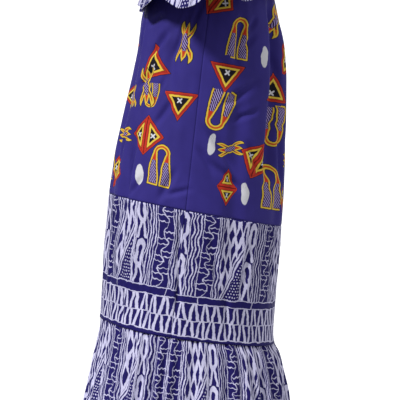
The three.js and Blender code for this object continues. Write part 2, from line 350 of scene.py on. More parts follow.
class HangingForm:
    """The outer face of the cloth that hangs round the wearer, with its folds and creases."""

    def __init__(self) -> None:
        """Gives each crease a like one on the hidden side."""
        self._rows = {}
        hidden = [
            Crease(
                -crease.angle + HIDDEN_SIDE["turn"],
                crease.level + HIDDEN_SIDE["drop"],
                -crease.end_angle + HIDDEN_SIDE["turn"],
                crease.end_level + HIDDEN_SIDE["drop"],
                crease.width,
                crease.depth * HIDDEN_SIDE["softer"],
            )
            for crease in CREASES
        ]
        self._creases = [*CREASES, *hidden]

    def row(self, level: float) -> dict[str, float]:
        """The form's sizes at a level, read from the table once.

        Args:
            level: the height at the side seams.

        Returns:
            The table's columns by name.
        """
        if level not in self._rows:
            self._rows[level] = read_table(LEVELS, "level", level)
        return self._rows[level]

    def armhole_angle(self, level: float) -> float:
        """How far round from the middle the body reaches at a level."""
        up = min(max((level - UNDERARM) / (BODY_TOP - UNDERARM), 0.0), 1.0)
        return 90 - (90 - ARMHOLE_TOP_ANGLE) * math.sqrt(up)

    def fold_depth(self, level: float, angle: float) -> float:
        """How far the long folds take the cloth inwards.

        Args:
            level: the height at the side seams.
            angle: the angle round the axis, in degrees.

        Returns:
            The depth, in millimetres.
        """
        depth = 0.0
        for fold in FOLDS:
            if not fold.bottom < level < fold.top:
                continue
            along = (fold.top - level) / (fold.top - fold.bottom)
            away = abs(nearest_turn(angle - mix(fold.start, fold.end, along))) / fold.spread
            if away < 1:
                fade = smooth_step(fold.top - level, 0, FOLD_FADE)
                fade *= smooth_step(level - fold.bottom, 0, FOLD_FADE)
                depth += fold.depth * fade * 0.5 * (1 + math.cos(math.pi * away))
        return depth

    def crease_depth(self, level: float, angle: float, girth_per_degree: float) -> float:
        """How far the soft creases take the cloth inwards, with the low ridges at their sides.

        Args:
            level: the height at the side seams.
            angle: the angle round the axis, in degrees.
            girth_per_degree: how many millimetres of cloth lie in one degree here.

        Returns:
            The depth, in millimetres.
        """
        depth = 0.0
        for crease in self._creases:
            if abs(level - 0.5 * (crease.level + crease.end_level)) > CREASE_REACH:
                continue
            x = nearest_turn(angle - crease.angle) * girth_per_degree
            y = level - crease.level
            run_x = (crease.end_angle - crease.angle) * girth_per_degree
            run_y = crease.end_level - crease.level
            length = math.hypot(run_x, run_y)
            along = (x * run_x + y * run_y) / length**2
            off = abs(x * run_y - y * run_x) / length / crease.width
            if off < 3 and -0.2 < along < 1.2:
                # It tapers in over its first part and out over its last.
                taper = smooth_step(along, -0.15, 0.35) * smooth_step(1.15 - along, 0, 0.5)
                depth += CREASE_STRENGTH * crease.depth * taper * (1 - 0.9 * off * off) * math.exp(-off * off)
        return depth

    def liveliness(self, level: float, angle: float) -> float:
        """The slow and the finer unevenness of loose cotton, in millimetres outwards."""
        return 3.6 * uneven(3.2, angle, level / 210) + 1.6 * uneven(8, angle, level / 95 + 7)

    def point(self, level: float, angle: float, outwards: float = 0.0, fine: bool = True) -> Vector:
        """A point of the cloth's outer face.

        Args:
            level: the height at the side seams.
            angle: the angle round the axis, in degrees.
            outwards: a distance to add along the outward direction.
            fine: whether creases and unevenness are added to the long folds.

        Returns:
            The point, in millimetres.
        """
        form = self.row(level)
        side = form["side"]
        if level > UNDERARM:
            side = ARMHOLE_INSET / math.sin(math.radians(self.armhole_angle(level)))
        sine, cosine = math.sin(math.radians(angle)), math.cos(math.radians(angle))
        depth = form["front"] if cosine > 0 else form["back"]
        offset = outwards - self.fold_depth(level, angle)
        if fine:
            calm = smooth_step(UNDERARM - level, -40, 60)
            creased = self.crease_depth(level, angle, math.radians(side))
            offset += calm * (self.liveliness(level, angle) - creased)
        normal = Vector((sine / side, -cosine / depth)).normalized()
        x, y = side * sine + normal.x * offset, -depth * cosine + normal.y * offset
        return Vector((x, y, level + form["rise"] * y))


def gathered(sizes: Waves, down: float, angle: float) -> float:
    """The gathers and waves of a gathered ring.

    Args:
        sizes: how the ring waves.
        down: the share of the way from its seam to its hem.
        angle: the angle round the axis, in degrees.

    Returns:
        The distance outwards, in millimetres.
    """
    # Gathers bunch and spread as they are pulled up, so their spacing and fullness drift.
    turn = math.radians(angle)
    if down < FULLEST_AT:
        depth = mix(sizes.at_seam, sizes.fullest, down / FULLEST_AT)
    else:
        depth = mix(sizes.fullest, sizes.at_hem, (down - FULLEST_AT) / (1 - FULLEST_AT))
    fuller = 0.75 + 0.25 * math.sin(5 * turn + 1)
    gather = math.cos(sizes.gathers * turn + 0.9 * math.sin(3 * turn) + 0.6 * math.sin(8 * turn))
    wave = math.cos(sizes.waves * turn + 1.1 * math.sin(2 * turn + 0.5))
    return fuller * (depth * gather + sizes.wave_depth * max(down, 0.0) ** 1.3 * wave)


FORM = HangingForm()
NECK = dict(FORM.row(BODY_TOP), side=ARMHOLE_INSET / math.sin(math.radians(ARMHOLE_TOP_ANGLE)))


def oval_point(form: dict[str, float], angle: float, outwards: float) -> tuple[float, float]:
    """A point of an oval with its own depths at front and back.

    Args:
        form: the oval's distances from the axis at front, back and side.
        angle: the angle round the axis, in degrees.
        outwards: a distance to add along the outward direction.

    Returns:
        The point's x and y, in millimetres.
    """
    sine, cosine = math.sin(math.radians(angle)), math.cos(math.radians(angle))
    depth = form["front"] if cosine > 0 else form["back"]
    normal = Vector((sine / form["side"], -cosine / depth)).normalized()
    return form["side"] * sine + normal.x * outwards, -depth * cosine + normal.y * outwards


# ------------------------------------------------------------------ finishes


Signal = bpy.types.NodeSocket | float
Colour = bpy.types.NodeSocket | str
PRINT_EDGE = 0.9  # millimetres over which a printed edge fades into the next colour
PER_METRE = 1000.0


class Wiring:
    """Adds nodes to one material or world and links them."""

    FUNCTIONS: ClassVar = {
        "abs": "ABSOLUTE",
        "sin": "SINE",
        "cos": "COSINE",
        "min": "MINIMUM",
        "max": "MAXIMUM",
        "floor": "FLOOR",
        "sqrt": "SQRT",
        "less": "LESS_THAN",
        "greater": "GREATER_THAN",
        "wrap": "FLOORED_MODULO",
    }
    OPERATORS: ClassVar = {ast.Add: "ADD", ast.Sub: "SUBTRACT", ast.Mult: "MULTIPLY", ast.Div: "DIVIDE"}

    def __init__(self, owner: bpy.types.Material | bpy.types.World) -> None:
        """Empties a material or a world.

        Args:
            owner: the material or world that is wired.
        """
        self.owner = owner
        owner.use_nodes = True
        self.nodes = owner.node_tree.nodes
        self.links = owner.node_tree.links
        self.nodes.clear()
        self._known: dict = {}

    def add(self, kind: str, inputs: dict, out: int | str = 0, **settings: object) -> bpy.types.NodeSocket:
        """Adds a node with its settings and links, or finds the same one if it is there already.

        Args:
            kind: the node's type, without its ShaderNode prefix.
            inputs: a value or a socket for each input, by name or place.
            out: the output to hand back.
            settings: the node's own properties.

        Returns:
            The chosen output.
        """
        sources = (
            (place, (value.node.name, value.identifier) if isinstance(value, bpy.types.NodeSocket) else value)
            for place, value in inputs.items()
        )
        key = (kind, *sources, *settings.items())
        if key not in self._known:
            node = self.nodes.new(f"ShaderNode{kind}")
            self._known[key] = node
            for name, value in settings.items():
                setattr(node, name, value)
            for place, value in inputs.items():
                if isinstance(value, bpy.types.NodeSocket):
                    self.links.new(value, node.inputs[place])
                else:
                    node.inputs[place].default_value = value
        node = self._known[key]
        return node.outputs[out] if node.outputs else None

    def formula(self, text: str, **signals: Signal) -> bpy.types.NodeSocket:
        """Wires Math nodes for a formula of named signals.

        Args:
            text: the formula, in sums, products and the functions above; ink(d) is 1 inside an
                outline at distance d, with an edge one printed thread wide.
            signals: what the formula's names stand for.

        Returns:
            The formula's value.
        """
        return self._wire(ast.parse(text).body[0].value, signals)

    def _wire(self, part: ast.expr, signals: dict[str, Signal]) -> Signal:
        """Wires one part of a formula.

        Args:
            part: the part, as it was parsed.
            signals: what the formula's names stand for.

        Returns:
            The part's value.
        """
        if isinstance(part, ast.Constant):
            return float(part.value)
        if isinstance(part, ast.Name):
            return signals[part.id]
        if isinstance(part, ast.UnaryOp):
            return self.add("Math", {0: self._wire(part.operand, signals), 1: -1.0}, operation="MULTIPLY")
        if isinstance(part, ast.BinOp):
            sides = {0: self._wire(part.left, signals), 1: self._wire(part.right, signals)}
            return self.add("Math", sides, operation=self.OPERATORS[type(part.op)])
        values = [self._wire(value, signals) for value in part.args]
        if part.func.id == "ink":
            sharper = self.add("Math", {0: values[0], 1: -PRINT_EDGE}, operation="DIVIDE")
            return self.add("Math", {0: sharper, 1: 0.5}, operation="ADD", use_clamp=True)
        operation = self.FUNCTIONS[part.func.id]
        result = self.add("Math", dict(enumerate(values[:2])), operation=operation)
        for value in values[2:]:
            result = self.add("Math", {0: result, 1: value}, operation=operation)
        return result

    def laid_out(self, uv_map: str) -> tuple[bpy.types.NodeSocket, ...]:
        """Reads one of the cloth's maps.

        Args:
            uv_map: the map's name.

        Returns:
            The map itself, the place across and the place down, both in millimetres.
        """
        cloth = self.add("UVMap", {}, uv_map=uv_map)
        place = self.add("SeparateXYZ", {0: cloth})
        across = self.formula("s * k", s=place, k=PER_METRE)
        down = self.formula("s * k", s=place.node.outputs[1], k=PER_METRE)
        return cloth, across, down

    def layered(self, colour: Colour, *layers: tuple[Signal, Colour]) -> bpy.types.NodeSocket:
        """Lays colours over a first one, each by its own share.

        Args:
            colour: the lowest colour, as hex or as a socket.
            layers: a share and a colour for each further one, the top one last.

        Returns:
            The colour that shows.
        """
        for share, over in layers:
            under, upper = (linear(c) if isinstance(c, str) else c for c in (colour, over))
            inputs = {"Factor": share, 6: under, 7: upper}
            colour = self.add("Mix", inputs, out=2, data_type="RGBA", clamp_factor=True)
        return colour

    def finish(self, shader: bpy.types.NodeSocket) -> bpy.types.Material:
        """Links the shader to the output and hands back the material."""
        self.add("OutputMaterial", {"Surface": shader})
        return self.owner


class Motif(Enum):
    """The figures of the blue print, numbered as the cloth's figure maps number them."""

    OVAL = 1
    DIAMOND = 2
    TRIANGLE = 3
    ARCH = 4
    LIZARD = 5


@dataclass(frozen=True)
class CottonFeel:
    """What plain-woven cotton gives the eye: a soft matt face, a faint nap and its weave."""

    roughness: float = 0.72
    sheen: float = 0.015
    specular: float = 0.12
    thread: float = 1.3  # real threads are 0.3 mm apart; they are drawn coarser so that they show
    weave_depth: float = 0.12

    def shader(self, wiring: Wiring, colour: Colour, u: Signal, v: Signal) -> bpy.types.NodeSocket:
        """The cloth's shader, with its weave raised over the given colour.

        Args:
            wiring: the material's wiring.
            colour: the printed colour.
            u: the place across the cloth, in millimetres.
            v: the place down the cloth, in millimetres.

        Returns:
            The shader.
        """
        turn = 2 * math.pi / self.thread
        weave = wiring.formula("sin(u * turn) * sin(v * turn)", u=u, v=v, turn=turn)
        slub = wiring.add(
            "TexNoise", {"Vector": wiring.add("CombineXYZ", {0: u, 1: v}), "Scale": 0.35, "Detail": 3.0}
        )
        height = wiring.formula("weave * 0.5 + slub * 1.6", weave=weave, slub=slub)
        bump = wiring.add("Bump", {"Strength": 0.35, "Distance": self.weave_depth * MM, "Height": height})
        shader = wiring.add(
            "BsdfPrincipled",
            {
                "Base Color": colour,
                "Roughness": self.roughness,
                "Specular IOR Level": self.specular,
                "Sheen Weight": self.sheen,
                "Sheen Roughness": 0.45,
                "Normal": bump,
            },
        )
        return shader


@dataclass(frozen=True)
class BluePrintedCotton:
    """Plain-woven cotton, dyed blue and printed with ovals, triangles, arches and lizards.

    The inks soak in, so the figures have the ground's own matt face, and edges a little unsteady.
    """

    feel: CottonFeel = field(default_factory=CottonFeel)
    ground: str = "#393186"
    ground_deep: str = "#282163"
    black: str = "#15101b"
    yellow: str = "#dcbc42"
    orange: str = "#c9591f"
    red: str = "#bb3323"
    dark_red: str = "#701416"
    white: str = "#cfcfd6"
    lilac: str = "#a795cb"
    hatch_ground: str = "#22164a"

    def material(self) -> bpy.types.Material:
        """Builds the printed cloth.

        Returns:
            The material.
        """
        w = Wiring(bpy.data.materials.new("blue_printed_cotton"))
        cloth, u, v = w.laid_out(PRINT_MAP)
        mottle = w.add("TexNoise", {"Vector": cloth, "Scale": 14.0, "Detail": 4.0})
        colour = w.layered(self.ground, (w.formula("m * 0.8", m=mottle), self.ground_deep))
        wobble = w.add("TexNoise", {"Vector": cloth, "Scale": 90.0, "Detail": 2.0}, out=1)
        kind, x, y = self._figure_place(w, UNDER_MAP, wobble)
        colour = self._oval(w, colour, x, y, self._is_kind(w, kind, Motif.OVAL))
        colour = self._triangles(w, colour, x, y, kind)
        colour = self._hatched(w, colour, self._arch(w, x, y), self._is_kind(w, kind, Motif.ARCH), x, y)
        kind, x, y = self._figure_place(w, OVER_MAP, wobble)
        colour = self._hatched(w, colour, self._lizard(w, x, y), self._is_kind(w, kind, Motif.LIZARD), x, y)
        return w.finish(self.feel.shader(w, colour, u, v))

    @staticmethod
    def _figure_place(w: Wiring, uv_map: str, wobble: Signal) -> tuple[Signal, Signal, Signal]:
        """The kind of the nearest figure, and the place in it in millimetres, a little unsteady.

        Args:
            w: the material's wiring.
            uv_map: the map that holds the figures.
            wobble: the noise colour that makes hand-cut edges.

        Returns:
            The kind's number, the place across and the place up.
        """
        local = w.add("SeparateXYZ", {0: w.add("UVMap", {}, uv_map=uv_map)})
        jitter = w.add("SeparateXYZ", {0: wobble})
        kind = w.formula("floor(s + 0.5)", s=local)
        across, up = jitter, jitter.node.outputs[1]
        x = w.formula("(s - kind) * k + (j - 0.5) * 2.6", s=local, kind=kind, k=PER_METRE, j=across)
        y = w.formula("s * k + (j - 0.5) * 2.6", s=local.node.outputs[1], k=PER_METRE, j=up)
        return kind, x, y

    @staticmethod
    def _is_kind(w: Wiring, kind: Signal, motif: Motif) -> bpy.types.NodeSocket:
        """1 where the nearest figure is of one kind."""
        return w.formula("less(abs(kind - number), 0.5)", kind=kind, number=float(motif.value))

    def _oval(self, w: Wiring, colour: Colour, x: Signal, y: Signal, here: Signal) -> bpy.types.NodeSocket:
        """Lays the plain white oval, 21 by 50 mm."""
        inside = w.formula("here * ink((sqrt(x * x * 5.6 + y * y) - 25) * 0.42)", here=here, x=x, y=y)
        return w.layered(colour, (inside, self.white))

    def _triangles(
        self, w: Wiring, colour: Colour, x: Signal, y: Signal, kind: Signal
    ) -> bpy.types.NodeSocket:
        """Lays the two triangles on either side of a bar, 88 by 96 mm, and the single one, 80 by 62 mm.

        Args:
            w: the material's wiring.
            colour: the colour under them.
            x: the place across the figure, in millimetres.
            y: the place up the figure, in millimetres.
            kind: the number of the nearest figure's kind.

        Returns:
            The colour with the triangles on it.
        """
        double, single = self._is_kind(w, kind, Motif.DIAMOND), self._is_kind(w, kind, Motif.TRIANGLE)
        here = w.formula("double + single", double=double, single=single)
        two_edge = w.formula("abs(x) * 0.737 + abs(y) * 0.676 - 32.4", x=x, y=y)
        one_edge = w.formula("max(-24 - y, abs(x) * 0.84 + (y - 38) * 0.542)", x=x, y=y)
        edge = w.formula("a * double + b * single", a=two_edge, double=double, b=one_edge, single=single)
        inner = w.formula(
            "max(edge + 6.3, double * (8 - abs(x)) - 90 * single)",
            edge=edge,
            double=double,
            x=x,
            single=single,
        )
        cross_x = w.formula("abs(abs(x) - 19 * double)", x=x, double=double)
        cross_y = w.formula("abs(y + 6 * single)", y=y, single=single)
        cross = w.formula("max(abs(p - q) * 0.7 - 1.7, max(p, q) - 5.6)", p=cross_x, q=cross_y)
        bar = w.formula("max(abs(x) - 1.4 + 60 * single, edge + 2)", edge=edge, x=x, single=single)
        layers = (
            (w.formula("here * ink(edge - 1.2)", here=here, edge=edge), self.black),
            (w.formula("here * ink(edge)", here=here, edge=edge), self.red),
            (w.formula("here * ink(abs(edge + 3.2) - 0.6) * 0.7", here=here, edge=edge), self.dark_red),
            (w.formula("here * ink(bar)", here=here, bar=bar), self.dark_red),
            (w.formula("here * ink(inner - 1.4)", here=here, inner=inner), self.dark_red),
            (w.formula("here * ink(inner)", here=here, inner=inner), self.yellow),
            (w.formula("here * ink(inner + 4.2)", here=here, inner=inner), self.black),
            (w.formula("here * ink(cross)", here=here, cross=cross), self.white),
        )
        return w.layered(colour, *layers)

    @staticmethod
    def _arch(w: Wiring, x: Signal, y: Signal) -> tuple[Signal, Signal]:
        """The arch, 60 by 98 mm: a round bow on two legs that widen to flat ends.

        Args:
            w: the material's wiring.
            x: the place across the figure, in millimetres.
            y: the place up the figure, in millimetres.

        Returns:
            The signed distance to its outline, and a value over 0 where it is orange.
        """
        over_bow = w.formula("max(y - 27, 0)", y=y)
        share = w.formula("max(27 - y, 0) / 77", y=y)
        spread = w.formula("9 * share * (2 - share)", share=share)
        radius = w.formula("sqrt(x * x + over * over)", x=x, over=over_bow)
        outline = w.formula("max(r - 21.5 - s, 11 - s - r, -50 - y)", r=radius, s=spread, y=y)
        return outline, w.formula("y - 9", y=y)

    @staticmethod
    def _lizard(w: Wiring, x: Signal, y: Signal) -> tuple[Signal, Signal]:
        """The lizard, 48 by 98 mm: a narrow body with three curved prongs at each end.

        Args:
            w: the material's wiring.
            x: the place across the figure, in millimetres.
            y: the place up the figure, in millimetres.

        Returns:
            The signed distance to its outline, and a value over 0 where it is orange.
        """
        bent = w.formula("abs(x + 3 * sin(y * 0.06))", x=x, y=y)
        tall = w.formula("abs(y)", y=y)
        along = w.formula("min(max((tall - 10) / 39, 0), 1.05)", tall=tall)
        prong = w.formula(
            "(abs(bent - 5 - 12.5 * sin(t * 2)) - 6.2 * (1 - t * t * t)) * 0.85", bent=bent, t=along
        )
        spine = w.formula("bent - min(12 - 0.2 * tall, (47 - tall) * 0.42)", bent=bent, tall=tall)
        outline = w.formula("max(min(prong, spine), tall - 49)", prong=prong, spine=spine, tall=tall)
        return outline, w.formula("tall - 21", tall=tall)

    def _hatched(
        self, w: Wiring, colour: Colour, figure: tuple[Signal, Signal], here: Signal, x: Signal, y: Signal
    ) -> bpy.types.NodeSocket:
        """Lays a figure with a yellow outline, orange ends and a hatched body.

        Args:
            w: the material's wiring.
            colour: the colour under it.
            figure: the signed distance to its outline, and a value over 0 where it is orange.
            here: 1 where the nearest figure is of this kind.
            x: the place across the figure, in millimetres.
            y: the place up the figure, in millimetres.

        Returns:
            The colour with the figure on it.
        """
        edge, ends = figure
        hot = w.formula("greater(ends, 0)", ends=ends)
        hatching = w.formula("less(wrap(x + y * 0.8, 5.6), 2.5)", x=x, y=y)
        layers = (
            (w.formula("here * ink(edge - 1.5)", here=here, edge=edge), self.black),
            (w.formula("here * ink(edge)", here=here, edge=edge), self.yellow),
            (w.formula("here * ink(edge + 3.3)", here=here, edge=edge), self.dark_red),
            (w.formula("here * ink(edge + 4.3)", here=here, edge=edge), self.hatch_ground),
            (w.formula("here * ink(edge + 4.9) * hatch", here=here, edge=edge, hatch=hatching), self.lilac),
            (w.formula("here * ink(edge + 3.5) * hot", here=here, edge=edge, hot=hot), self.orange),
            (w.formula("here * ink(edge + 5) * hot", here=here, edge=edge, hot=hot), self.red),
        )
        return w.layered(colour, *layers)


@dataclass(frozen=True)
class IndigoResistCotton:
    """Plain-woven cotton, dyed with indigo round white columns of lattice, loops, frets and dots.

    The resist is laid by hand, so its strokes wander and swell, and dye has crept into the white.
    """

    feel: CottonFeel = field(default_factory=CottonFeel)
    indigo: str = "#211a6a"
    indigo_deep: str = "#120d3d"
    white: str = "#cbc9e4"
    white_worn: str = "#918dbd"
    repeat: float = 180.0  # width of one run of columns
    drop: float = 190.0  # height of one run of columns, and of the panel above its band
    banded: bool = False

    def material(self) -> bpy.types.Material:
        """Builds the resist-dyed cloth, with the printed band of the skirt panels or without it.

        Returns:
            The material.
        """
        name = "indigo_resist_cotton_banded" if self.banded else "indigo_resist_cotton"
        w = Wiring(bpy.data.materials.new(name))
        cloth, u, v = w.laid_out(PRINT_MAP)
        unsteady = (
            w.add("TexNoise", {"Vector": cloth, "Scale": scale, "Detail": 1.0}, out=1)
            for scale in (42.0, 210.0)
        )
        slow, quick = (w.add("SeparateXYZ", {0: cloud}) for cloud in unsteady)
        text = "s + (a - 0.5) * 9 + (b - 0.5) * 2.6"
        x = w.formula(text, s=u, a=slow, b=quick)
        y = w.formula(text, s=v, a=slow.node.outputs[1], b=quick.node.outputs[1])
        distance = self._columns(w, x, y)
        if self.banded:
            in_band = w.formula("greater(y, drop)", y=y, drop=self.drop)
            band = self._band(w, x, w.formula("y - drop", y=y, drop=self.drop))
            distance = w.formula("d + (band - d) * inside", d=distance, band=band, inside=in_band)
        wear = w.add("TexNoise", {"Vector": cloth, "Scale": 60.0, "Detail": 5.0, "Roughness": 0.7})
        ground = w.layered(self.indigo, (w.formula("m * 0.9", m=wear), self.indigo_deep))
        white = w.layered(self.white, (w.formula("(m - 0.42) * 1.8", m=wear), self.white_worn))
        colour = w.layered(ground, (w.formula("ink(d + (m - 0.5) * 0.8)", d=distance, m=wear), white))
        return w.finish(self.feel.shader(w, colour, u, v))

    def _columns(self, w: Wiring, x: Signal, y: Signal) -> bpy.types.NodeSocket:
        """The run of columns, side by side and one run below another.

        Args:
            w: the material's wiring.
            x: the place across the cloth, in millimetres.
            y: the place down the cloth, in millimetres.

        Returns:
            The signed distance to the white strokes.
        """
        across = w.formula("wrap(x, repeat)", x=x, repeat=self.repeat)
        down = w.formula("wrap(y, drop)", y=y, drop=self.drop)
        # Where each column begins and ends, and its strokes.
        columns = (
            (0.0, 43.0, self._fret(w, across, down)),
            (44.0, 58.0, self._ripples(w, across, down, 7.2)),
            (58.0, 121.0, self._lattice(w, w.formula("a - 89.5", a=across), down)),
            (121.0, 154.0, self._loops(w, w.formula("a - 137", a=across), down)),
            (154.0, 179.0, self._ripples(w, across, down, 8.2)),
        )
        distance = None
        for low, high, strokes in columns:
            kept = w.formula("max(d, low - a, a - high)", d=strokes, a=across, low=low, high=high)
            distance = kept if distance is None else w.formula("min(p, q)", p=distance, q=kept)
        return distance

    def _fret(self, w: Wiring, across: Signal, down: Signal) -> bpy.types.NodeSocket:
        """A fret of thin lines: whole rungs, with a winding S between each two that joins the sides.

        Args:
            w: the material's wiring.
            across: the place across the run of columns, in millimetres.
            down: the place down it, in millimetres.

        Returns:
            The signed distance to the white strokes.
        """
        step = w.formula("wrap(down + 4 * sin(down * 0.05), 41) + 0.9 * sin(a * 0.5)", down=down, a=across)
        rung = w.formula("20.5 - abs(s - 20.5)", s=step)
        stem = w.formula("abs(a - 21.5 - 7 * sin(s * 0.153)) * 0.8", s=step, a=across)
        upper = w.formula("max(abs(s - 11 - 0.06 * a), a - 29)", s=step, a=across)
        lower = w.formula("max(abs(s - 31 + 0.04 * a), 14 - a)", s=step, a=across)
        sides = w.formula("min(abs(a - 2), abs(a - 41))", a=across)
        heavy = w.formula("0.9 + 0.25 * sin(down * 0.11 + a * 0.2)", down=down, a=across)
        return w.formula("min(r, t, u, l, e) - h", r=rung, t=stem, u=upper, l=lower, e=sides, h=heavy)

    def _ripples(self, w: Wiring, across: Signal, down: Signal, spacing: float) -> bpy.types.NodeSocket:
        """Rippled upright lines, side by side.

        Args:
            w: the material's wiring.
            across: the place across the run of columns, in millimetres.
            down: the place down it, in millimetres.
            spacing: how far apart the lines are, in millimetres.

        Returns:
            The signed distance to the white strokes.
        """
        shifted = w.formula("wrap(a + 1.2 * sin(d * 0.13) + d * 0.02, gap)", a=across, d=down, gap=spacing)
        return w.formula(
            "abs(s - half) - 1.45 - 0.8 * sin(d * 0.07 + a)", s=shifted, half=spacing / 2, d=down, a=across
        )

    def _lattice(self, w: Wiring, x: Signal, down: Signal) -> bpy.types.NodeSocket:
        """Crossing tapered strokes above a slanting pair, with a dotted triangle below them.

        Args:
            w: the material's wiring.
            x: the place across from the column's middle, in millimetres.
            down: the place down it, in millimetres.

        Returns:
            The signed distance to the white strokes.
        """
        heavy = w.formula("1.5 + 2.3 * abs(cos(down * 0.049 + x * 0.03))", down=down, x=x)
        strokes = [
            w.formula("abs(wrap(x + down * slope, 18) - 9) - heavy", x=x, down=down, slope=slope, heavy=heavy)
            for slope in (0.25, -0.25)
        ]
        slant = w.formula("(x - 31 + (down - 78) * 0.42) * 0.92", x=x, down=down)
        pair = w.formula("min(abs(slant + 4), abs(slant + 10.5) + 0.2) - 1.9", slant=slant)
        shift = w.formula("3.6 * wrap(floor(down / 7.2), 2)", down=down)
        dot_x = w.formula("wrap(x + shift, 7.2) - 3.6", x=x, shift=shift)
        dot_y = w.formula("wrap(down, 7.2) - 3.6", down=down)
        dots = w.formula("max(sqrt(p * p + q * q) - 1.7, 2 - slant)", p=dot_x, q=dot_y, slant=slant)
        crossing = w.formula("max(min(p, q), slant + 13)", p=strokes[0], q=strokes[1], slant=slant)
        post = w.formula("abs(x - 29.5 - 0.8 * sin(down * 0.05)) - 1.9", x=x, down=down)
        return w.formula("min(c, pair, dots, post)", c=crossing, pair=pair, dots=dots, post=post)

    def _loops(self, w: Wiring, x: Signal, down: Signal) -> bpy.types.NodeSocket:
        """Tall thick loops that stand on two spread legs, beside a thin upright.

        Args:
            w: the material's wiring.
            x: the place across from the column's middle, in millimetres.
            down: the place down it, in millimetres.

        Returns:
            The signed distance to the white strokes.
        """
        step = w.formula("wrap(down, 95)", down=down)
        end = w.formula("max(abs(s - 32) - 12, 0)", s=step)
        ring = w.formula(
            "abs(sqrt(x * x + e * e * 0.35) - 7.6) - 3.7 - 0.6 * sin(s * 0.2)", x=x, e=end, s=step
        )
        legs = w.formula("max(abs(abs(x) - 3.4 - (s - 60) * 0.2) - 2.9, 58 - s)", x=x, s=step)
        upright = w.formula("abs(abs(x) - 14.3 - sin(s * 0.11)) - 1", x=x, s=step)
        return w.formula("min(ring, legs, upright)", ring=ring, legs=legs, upright=upright)

    def _band(self, w: Wiring, x: Signal, down: Signal) -> bpy.types.NodeSocket:
        """A plain bar between thin lines, two rows of tall chevrons and a closing line.

        Args:
            w: the material's wiring.
            x: the place across the cloth, in millimetres.
            down: the place down it, in millimetres.

        Returns:
            The signed distance to the white strokes.
        """
        rows = []
        # Each row's top, height, shift sideways and half width at its tip.
        for top, height, shift, apex in ((19.5, 36.5, 0.0, 3.0), (58.0, 36.0, 9.0, 4.6)):
            share = w.formula("(down - top) / height", down=down, top=top, height=height)
            local = w.formula("abs(wrap(x + shift + 1.5 * sin(x * 0.09), 28) - 14)", x=x, shift=shift)
            leg = w.formula(
                "abs(local - apex - (9.2 - apex) * share) - 2.9 - 0.5 * share",
                local=local,
                share=share,
                apex=apex,
            )
            ends = w.formula("max(-share * height, (share - 1) * height)", share=share, height=height)
            rows.append(w.formula("max(leg, ends)", leg=leg, ends=ends))
        lines = w.formula(
            "min(abs(down - 1.5), abs(down - 18.2), abs(down - 57), abs(down - 95)) - 1.05", down=down
        )
        notch = w.formula("max(abs(wrap(x, 150) - 40) - 0.9, abs(down - 10) - 9)", x=x, down=down)
        return w.formula("min(a, b, lines, notch)", a=rows[0], b=rows[1], lines=lines, notch=notch)


@dataclass(frozen=True)
class PlainPaint:
    """Matt paint, or dyed thread, of one colour: no pattern, only a faint unevenness of tone."""

    name: str
    colour: str
    shade: str
    roughness: float
    scale: float

    def material(self) -> bpy.types.Material:
        """Builds the paint.

        Returns:
            The material.
        """
        w = Wiring(bpy.data.materials.new(self.name))
        place = w.add("TexCoord", {}, out="Object")
        cloud = w.add("TexNoise", {"Vector": place, "Scale": self.scale, "Detail": 2.0})
        colour = w.layered(self.colour, (cloud, self.shade))
        return w.finish(w.add("BsdfPrincipled", {"Base Color": colour, "Roughness": self.roughness}))


# ------------------------------------------------------------------ the blue print's layout


@dataclass(frozen=True)
class Placed:
    """One printed figure in the blue print's repeat: its place, tilt, size and narrowness."""

    motif: Motif
    u: float
    v: float
    tilt: float = 0.0
    size: float = 1.0
    narrow: float = 1.0


REPEAT_WIDTH = 580.0
REPEAT_HEIGHT = 560.0
# Across from the wearer's left side seam towards the back, and down from the neckline.
BLUE_LAYOUT = (
    Placed(Motif.OVAL, -134, 588, 4, 1.0, 1.2),
    Placed(Motif.OVAL, 45, 490, 4),
    Placed(Motif.OVAL, 146, 590),
    Placed(Motif.OVAL, 163, 270, 4, 1.0, 1.1),
    Placed(Motif.OVAL, 121, 116, 0, 0.85),
    Placed(Motif.DIAMOND, -125, 492, 0, 1.0, 1.2),
    Placed(Motif.DIAMOND, 96, 582, 90, 0.96, 0.64),
    Placed(Motif.DIAMOND, 180, 509, 24, 1.0, 1.3),
    Placed(Motif.DIAMOND, -268, 587, 12, 1.0, 1.0),
    Placed(Motif.DIAMOND, 22, 150, 32),
    Placed(Motif.TRIANGLE, -136, 320, -14, 1.35, 0.9),
    Placed(Motif.TRIANGLE, -44, 407, 180, 1.08),
    Placed(Motif.TRIANGLE, 61, 327, 182, 1.08),
    Placed(Motif.TRIANGLE, 238, 342, 0, 1.08, 1.2),
    Placed(Motif.TRIANGLE, -244, 398, 30),
    Placed(Motif.TRIANGLE, 290, 268, 95),
    Placed(Motif.TRIANGLE, 296, 142, 150),
    Placed(Motif.ARCH, 83, 236, 2),
    Placed(Motif.ARCH, -75, 557, 4),
    Placed(Motif.ARCH, 53, 409, 194, 1.0, 1.12),
    Placed(Motif.ARCH, 250, 424, 180, 1.0, 1.2),
    Placed(Motif.ARCH, 240, 565, 0, 1.02, 1.4),
    Placed(Motif.ARCH, -130, 393, 180, 0.66, 1.3),
    Placed(Motif.LIZARD, -49, 262, 4, 1.0, 1.1),
    Placed(Motif.LIZARD, -151, 376, -4, 0.98, 1.25),
    Placed(Motif.LIZARD, 97, 494, 82, 0.76, 0.95),
    Placed(Motif.LIZARD, 226, 178, 14, 0.84, 1.6),
    Placed(Motif.LIZARD, -232, 498, 88, 0.8, 1.2),
    Placed(Motif.LIZARD, -150, 136, 84, 1.05),
    Placed(Motif.LIZARD, -204, 402, -12, 0.6),
)
MOTIF_REACH = {
    Motif.OVAL: 28.0,
    Motif.DIAMOND: 47.0,
    Motif.TRIANGLE: 40.0,
    Motif.ARCH: 52.0,
    Motif.LIZARD: 48.0,
}
